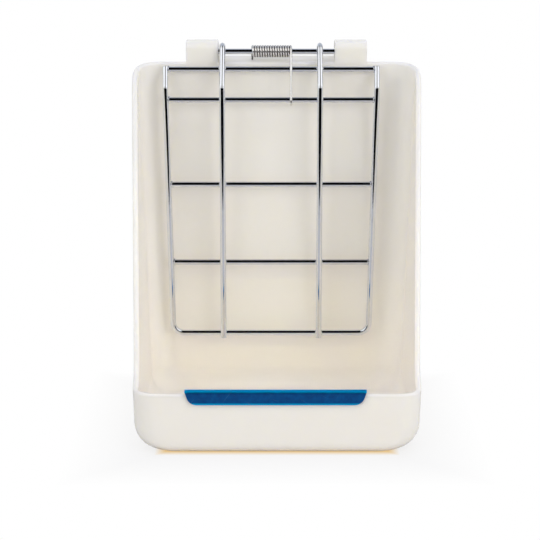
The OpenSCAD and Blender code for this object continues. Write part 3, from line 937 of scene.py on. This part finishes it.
def floor_paper():
    material, tree, shader, place = new_material("white_floor_paper")
    axes = add_node(tree, "ShaderNodeSeparateXYZ", {}, {0: place}).outputs
    reach = []
    for axis, low, high in (("X", -FOOT_X, FOOT_X), ("Y", FOOT_FRONT, FOOT_BACK)):
        middle, half = (low + high) / 2, (high - low) / 2
        offset = add_node(tree, "ShaderNodeMath", {"operation": "SUBTRACT"}, {
            0: axes[axis], 1: middle * MM})
        size = add_node(tree, "ShaderNodeMath", {"operation": "ABSOLUTE"}, {0: offset.outputs[0]})
        reach.append(add_node(tree, "ShaderNodeMath", {"operation": "SUBTRACT"}, {
            0: size.outputs[0], 1: half * MM}))
    outside = add_node(tree, "ShaderNodeMath", {"operation": "MAXIMUM"}, {
        0: reach[0].outputs[0], 1: reach[1].outputs[0]})
    under = add_node(tree, "ShaderNodeMapRange", {}, {
        "Value": outside.outputs[0], "From Min": 0.0, "From Max": FOOT_SOFT * MM,
        "To Min": 1.0, "To Max": 0.0})
    # Painted bounce light: under the feeder the paper is painted warm
    paper = add_node(tree, "ShaderNodeMix", COLOURS, {
        FACTOR: under.outputs[0], COLOUR_A: linear("#d9d8d6"), COLOUR_B: linear("#e8c78f")})
    tree.links.new(paper.outputs[MIXED], shader.inputs["Base Color"])
    shader.inputs["Roughness"].default_value = 0.5
    camera_ray = add_node(tree, "ShaderNodeLightPath").outputs["Is Camera Ray"]
    lift = add_node(tree, "ShaderNodeMapRange", {}, {
        "Value": outside.outputs[0], "From Min": 0.0, "From Max": SHADE_REACH * MM,
        "To Min": NEAR_LIFT, "To Max": 1.0})
    seen = add_node(tree, "ShaderNodeMath", {"operation": "MULTIPLY"}, {
        0: camera_ray, 1: lift.outputs[0]})
    # Painted bounce light: the glow under the feeder is warm as well
    bounced = add_node(tree, "ShaderNodeMix", COLOURS, {
        FACTOR: under.outputs[0], COLOUR_A: linear("#ffffff"), COLOUR_B: linear("#f6d59a")})
    glow = add_node(tree, "ShaderNodeEmission", {}, {"Color": bounced.outputs[MIXED], "Strength": 1.0})
    mixed = add_node(tree, "ShaderNodeMixShader", {}, {
        0: seen.outputs[0], 1: shader.outputs[0], 2: glow.outputs[0]})
    tree.links.new(mixed.outputs[0], tree.nodes["Material Output"].inputs["Surface"])
    return material


def card_between(one, other, half):
    """Corners of a card that runs from one line along X to another, given as (y, z)."""
    return [(-half, *one), (half, *one), (half, *other), (-half, *other)]


floor_corners = card_between((FLOOR_FRONT, 0), (FLOOR_BACK, 0), FLOOR_SIDE)
floor = new_object("floor", floor_corners, faces=[(0, 1, 2, 3)])
wear(floor, floor_paper())
print(f"floor runs from y {FLOOR_FRONT:.0f} to y {FLOOR_BACK:.0f} mm")

# %% [markdown]
# ## What the chrome mirrors
# Chrome shows whatever is round it, so the room matters. Its walls are white, and cards that only
# reflections see furnish it. A dark band stands beyond the front edge of the floor, and a dark strip
# rises from its middle to the ceiling, as if a photographer stood there. The sides are dark towards
# the back, and the ceiling over the back is grey. Two bright panels hang beside the strip. Together
# they give the wires their black core, their bright flanks and their thin dark edges.

# %% Cards for reflections
CARD_Y, CARD_SIDE, CARD_LOW, CARD_HIGH = -1100.0, 1900.0, -200.0, 420.0
STRIP_SIDE, STRIP_TOP = 330.0, 1000.0
CEILING_Z, CEILING_FRONT, CEILING_BACK = 1500.0, 0.0, 1800.0
SIDE_FRONT, SIDE_BACK = 350.0, 1700.0
PANEL_Y, PANEL_IN, PANEL_OUT, PANEL_LOW, PANEL_HIGH = -600.0, 400.0, 1700.0, 650.0, 1500.0
PANEL_GLOW = 1.5

band_top, strip_bend = (CARD_Y, CARD_HIGH), (CARD_Y, STRIP_TOP)
ceiling_edge = (CEILING_FRONT, CEILING_Z)
cards = [
    card_between((CARD_Y, CARD_LOW), band_top, CARD_SIDE),
    card_between(band_top, strip_bend, STRIP_SIDE),
    card_between(strip_bend, ceiling_edge, STRIP_SIDE)]
cards += [
    [(x, SIDE_FRONT, 0), (x, SIDE_BACK, 0), (x, SIDE_BACK, CEILING_Z), (x, SIDE_FRONT, CEILING_Z)]
    for x in (-CARD_SIDE, CARD_SIDE)]
ceiling = [card_between(ceiling_edge, (CEILING_BACK, CEILING_Z), CARD_SIDE)]
panel_corners = [
    (PANEL_IN, PANEL_LOW), (PANEL_OUT, PANEL_LOW), (PANEL_OUT, PANEL_HIGH), (PANEL_IN, PANEL_HIGH)]
panels = [[(side * x, PANEL_Y, z) for x, z in panel_corners] for side in (-1, 1)]


def show_to_mirrors(name, corner_lists, hex_colour, strength=1.0):
    """Cards that glow with an even colour and are seen in reflections only."""
    card = new_object(name, [p for corners in corner_lists for p in corners],
                      faces=[[4 * i + k for k in range(4)] for i in range(len(corner_lists))])
    material, tree, _, _ = new_material(name)
    glow = add_node(tree, "ShaderNodeEmission", {}, {"Color": linear(hex_colour), "Strength": strength})
    tree.links.new(glow.outputs[0], tree.nodes["Material Output"].inputs["Surface"])
    wear(card, material)
    card.visible_camera = card.visible_diffuse = card.visible_shadow = False
    return card


show_to_mirrors("dark_cards", cards, "#0b0b0c")
show_to_mirrors("grey_ceiling", ceiling, "#c0c6d0")
show_to_mirrors("bright_panels", panels, "#ffffff", PANEL_GLOW)
print(len(cards), "dark cards, a grey ceiling and", len(panels), "bright panels are in place")

# %% [markdown]
# ## Light
# The white room lights the feeder evenly from all round. The camera and the mirrors see it as pure
# white, but it shines at about half that, so that lamps can give the shapes their shading. Two soft
# boxes stand in front at the left and the right, a cooler one hangs overhead, and a small, narrow,
# warm lamp reaches down into the bowl. The lamps are hidden from the camera and from reflections.

# %% Room light and lamps
ROOM_LIGHT = 0.535
COOL_WHITE, PLAIN_WHITE, WARM_WHITE = "#d2d8ff", "#fffbfa", "#fff8cc"
FEEDER_MIDDLE, BOWL_BACK = (0, 0, 90), (0, 28, 25)
# Name, place, what it is aimed at, width and height, watts, colour, and spread in degrees
LAMPS = [
    ("left_softbox", (-900, -800, 380), FEEDER_MIDDLE, (800, 700), 3.1, PLAIN_WHITE, 180),
    ("right_softbox", (900, -800, 380), FEEDER_MIDDLE, (800, 700), 5.1, PLAIN_WHITE, 180),
    ("top_softbox", (0, -150, 1150), FEEDER_MIDDLE, (1300, 700), 3.6, COOL_WHITE, 180),
    ("bowl_lamp", (0, -380, 560), BOWL_BACK, (140, 60), 0.0085, WARM_WHITE, 12)]


def white_room():
    world = bpy.data.worlds.new("white_room")
    bpy.context.scene.world = world
    world.use_nodes = True
    tree = world.node_tree
    path = add_node(tree, "ShaderNodeLightPath").outputs
    seen = add_node(tree, "ShaderNodeMath", {"operation": "MAXIMUM"}, {
        0: path["Is Camera Ray"], 1: path["Is Glossy Ray"]})
    level = add_node(tree, "ShaderNodeMapRange", {}, {
        "Value": seen.outputs[0], "To Min": ROOM_LIGHT, "To Max": 1.0})
    back = tree.nodes["Background"]
    back.inputs["Color"].default_value = (1.0, 1.0, 1.0, 1.0)
    tree.links.new(level.outputs[0], back.inputs["Strength"])


def soft_lamp(name, place, target, size, watts, colour, spread):
    lamp = bpy.data.lights.new(name, "AREA")
    lamp.shape = "RECTANGLE"
    lamp.size, lamp.size_y = size[0] * MM, size[1] * MM
    lamp.energy = watts
    lamp.color = linear(colour)[:3]
    lamp.spread = math.radians(spread)
    thing = bpy.data.objects.new(name, lamp)
    bpy.context.scene.collection.objects.link(thing)
    thing.location = Vector(place) * MM
    aim = Vector(target) * MM - thing.location
    thing.rotation_euler = aim.to_track_quat("-Z", "Y").to_euler()
    thing.visible_camera = thing.visible_glossy = False


white_room()
for lamp_values in LAMPS:
    soft_lamp(*lamp_values)
print("the room's light and", len(LAMPS), "lamps are in place")

# %% [markdown]
# ## Camera
# The camera stands a good way off with a long lens, as for a catalogue picture, and looks down at
# a small angle, so that the bowl's floor just shows above the front lip.

# %% Camera and view
CAMERA_AWAY, CAMERA_TILT = 800.0, math.radians(13)
CAMERA_AIM = Vector((-3.21, 0.15, 73.9))
LENS_MM, SENSOR_MM = 111.98, 36.0

camera_data = bpy.data.cameras.new("camera")
camera_data.lens, camera_data.sensor_width = LENS_MM, SENSOR_MM
camera = bpy.data.objects.new("camera", camera_data)
bpy.context.scene.collection.objects.link(camera)
away = Vector((0, -math.cos(CAMERA_TILT), math.sin(CAMERA_TILT))) * CAMERA_AWAY
camera.location = (CAMERA_AIM + away) * MM
camera.rotation_euler = (math.pi / 2 - CAMERA_TILT, 0, 0)
camera_data.clip_start, camera_data.clip_end = 0.01, 20.0
bpy.context.scene.camera = camera
bpy.context.scene.view_settings.view_transform = "Standard"
print("camera at", [round(c, 3) for c in camera.location])
